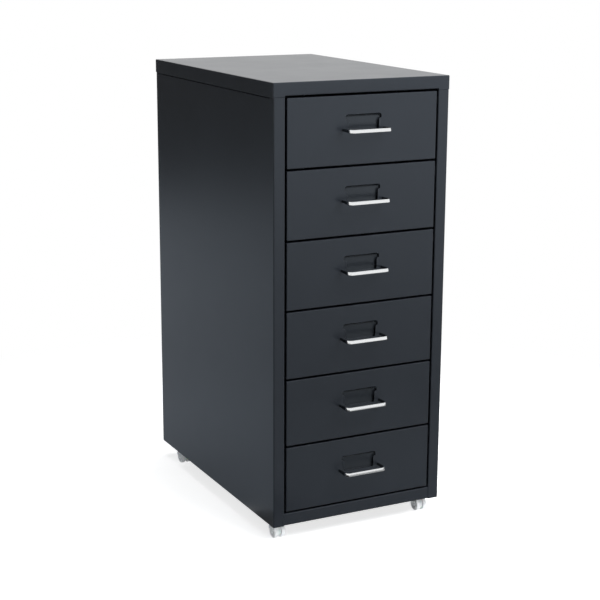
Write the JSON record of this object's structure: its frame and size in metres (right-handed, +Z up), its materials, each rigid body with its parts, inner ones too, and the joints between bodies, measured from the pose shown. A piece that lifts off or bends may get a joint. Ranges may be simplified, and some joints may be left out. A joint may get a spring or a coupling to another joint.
{
  "type": "drawer cabinet",
  "caption": "Narrow upright steel cabinet with a column of drawers that slide out on folded runners, bent strip handles, stamped label pockets and small twin-wheel swivel casters.",
  "frame": {"origin": "on the floor under the middle of the whole object's box", "axes": "+Z up, +X to the right seen from the front, +Y to the back, so the drawers open along -Y"},
  "size_m": [0.28, 0.456, 0.666],
  "materials": {
    "cabinet_paint": "dark grey powder coat, satin",
    "handle_chrome": "bright chrome plate",
    "zinc_steel": "bright zinc plate",
    "caster_plastic": "pale grey moulded nylon",
    "wheel_plastic": "milky clear moulded plastic, gloss"
  },
  "bodies": {
    "cabinet": {"top_panel": "cabinet_paint", "left_side_panel": "cabinet_paint", "right_side_panel": "cabinet_paint", "back_panel": "cabinet_paint", "bottom_panel": "cabinet_paint", "left_runners": "cabinet_paint", "right_runners": "cabinet_paint", "back_screws": "zinc_steel", "caster_plates": "zinc_steel", "caster_kingpins": "zinc_steel", "caster_screws": "zinc_steel"},
    "drawer_1": {"drawer_1_front": "cabinet_paint", "drawer_1_tray": "cabinet_paint", "drawer_1_back": "cabinet_paint", "drawer_1_handle": "handle_chrome"},
    "drawer_2": {"drawer_2_front": "cabinet_paint", "drawer_2_tray": "cabinet_paint", "drawer_2_back": "cabinet_paint", "drawer_2_handle": "handle_chrome"},
    "drawer_3": {"drawer_3_front": "cabinet_paint", "drawer_3_tray": "cabinet_paint", "drawer_3_back": "cabinet_paint", "drawer_3_handle": "handle_chrome"},
    "drawer_4": {"drawer_4_front": "cabinet_paint", "drawer_4_tray": "cabinet_paint", "drawer_4_back": "cabinet_paint", "drawer_4_handle": "handle_chrome"},
    "drawer_5": {"drawer_5_front": "cabinet_paint", "drawer_5_tray": "cabinet_paint", "drawer_5_back": "cabinet_paint", "drawer_5_handle": "handle_chrome"},
    "drawer_6": {"drawer_6_front": "cabinet_paint", "drawer_6_tray": "cabinet_paint", "drawer_6_back": "cabinet_paint", "drawer_6_handle": "handle_chrome"},
    "caster_front_left": {"caster_front_left_housing": "caster_plastic", "caster_front_left_axle": "zinc_steel"},
    "caster_front_left_left_wheel": {"caster_front_left_left_wheel": "wheel_plastic"},
    "caster_front_left_right_wheel": {"caster_front_left_right_wheel": "wheel_plastic"},
    "caster_front_right": {"caster_front_right_housing": "caster_plastic", "caster_front_right_axle": "zinc_steel"},
    "caster_front_right_left_wheel": {"caster_front_right_left_wheel": "wheel_plastic"},
    "caster_front_right_right_wheel": {"caster_front_right_right_wheel": "wheel_plastic"},
    "caster_back_left": {"caster_back_left_housing": "caster_plastic", "caster_back_left_axle": "zinc_steel"},
    "caster_back_left_left_wheel": {"caster_back_left_left_wheel": "wheel_plastic"},
    "caster_back_left_right_wheel": {"caster_back_left_right_wheel": "wheel_plastic"},
    "caster_back_right": {"caster_back_right_housing": "caster_plastic", "caster_back_right_axle": "zinc_steel"},
    "caster_back_right_left_wheel": {"caster_back_right_left_wheel": "wheel_plastic"},
    "caster_back_right_right_wheel": {"caster_back_right_right_wheel": "wheel_plastic"}
  },
  "joints": [
    {"name": "drawer_1_slide", "type": "slide", "parent": "cabinet", "child": "drawer_1", "axis": [0, -1, 0], "range_m": [0, 0.3]},
    {"name": "drawer_2_slide", "type": "slide", "parent": "cabinet", "child": "drawer_2", "axis": [0, -1, 0], "range_m": [0, 0.3]},
    {"name": "drawer_3_slide", "type": "slide", "parent": "cabinet", "child": "drawer_3", "axis": [0, -1, 0], "range_m": [0, 0.3]},
    {"name": "drawer_4_slide", "type": "slide", "parent": "cabinet", "child": "drawer_4", "axis": [0, -1, 0], "range_m": [0, 0.3]},
    {"name": "drawer_5_slide", "type": "slide", "parent": "cabinet", "child": "drawer_5", "axis": [0, -1, 0], "range_m": [0, 0.3]},
    {"name": "drawer_6_slide", "type": "slide", "parent": "cabinet", "child": "drawer_6", "axis": [0, -1, 0], "range_m": [0, 0.3]},
    {"name": "caster_front_left_swivel", "type": "hinge", "parent": "cabinet", "child": "caster_front_left", "pos_m": [-0.121, -0.165, 0.026], "axis": [0, 0, 1], "continuous": true},
    {"name": "caster_front_left_left_wheel_spin", "type": "hinge", "parent": "caster_front_left", "child": "caster_front_left_left_wheel", "pos_m": [-0.12645, -0.178, 0.0105], "axis": [1, 0, 0], "continuous": true},
    {"name": "caster_front_left_right_wheel_spin", "type": "hinge", "parent": "caster_front_left", "child": "caster_front_left_right_wheel", "pos_m": [-0.11555, -0.178, 0.0105], "axis": [1, 0, 0], "continuous": true},
    {"name": "caster_front_right_swivel", "type": "hinge", "parent": "cabinet", "child": "caster_front_right", "pos_m": [0.121, -0.165, 0.026], "axis": [0, 0, 1], "continuous": true},
    {"name": "caster_front_right_left_wheel_spin", "type": "hinge", "parent": "caster_front_right", "child": "caster_front_right_left_wheel", "pos_m": [0.11555, -0.178, 0.0105], "axis": [1, 0, 0], "continuous": true},
    {"name": "caster_front_right_right_wheel_spin", "type": "hinge", "parent": "caster_front_right", "child": "caster_front_right_right_wheel", "pos_m": [0.12645, -0.178, 0.0105], "axis": [1, 0, 0], "continuous": true},
    {"name": "caster_back_left_swivel", "type": "hinge", "parent": "cabinet", "child": "caster_back_left", "pos_m": [-0.121, 0.189, 0.026], "axis": [0, 0, 1], "continuous": true},
    {"name": "caster_back_left_left_wheel_spin", "type": "hinge", "parent": "caster_back_left", "child": "caster_back_left_left_wheel", "pos_m": [-0.12645, 0.176, 0.0105], "axis": [1, 0, 0], "continuous": true},
    {"name": "caster_back_left_right_wheel_spin", "type": "hinge", "parent": "caster_back_left", "child": "caster_back_left_right_wheel", "pos_m": [-0.11555, 0.176, 0.0105], "axis": [1, 0, 0], "continuous": true},
    {"name": "caster_back_right_swivel", "type": "hinge", "parent": "cabinet", "child": "caster_back_right", "pos_m": [0.121, 0.189, 0.026], "axis": [0, 0, 1], "continuous": true},
    {"name": "caster_back_right_left_wheel_spin", "type": "hinge", "parent": "caster_back_right", "child": "caster_back_right_left_wheel", "pos_m": [0.11555, 0.176, 0.0105], "axis": [1, 0, 0], "continuous": true},
    {"name": "caster_back_right_right_wheel_spin", "type": "hinge", "parent": "caster_back_right", "child": "caster_back_right_right_wheel", "pos_m": [0.12645, 0.176, 0.0105], "axis": [1, 0, 0], "continuous": true}
  ]
}
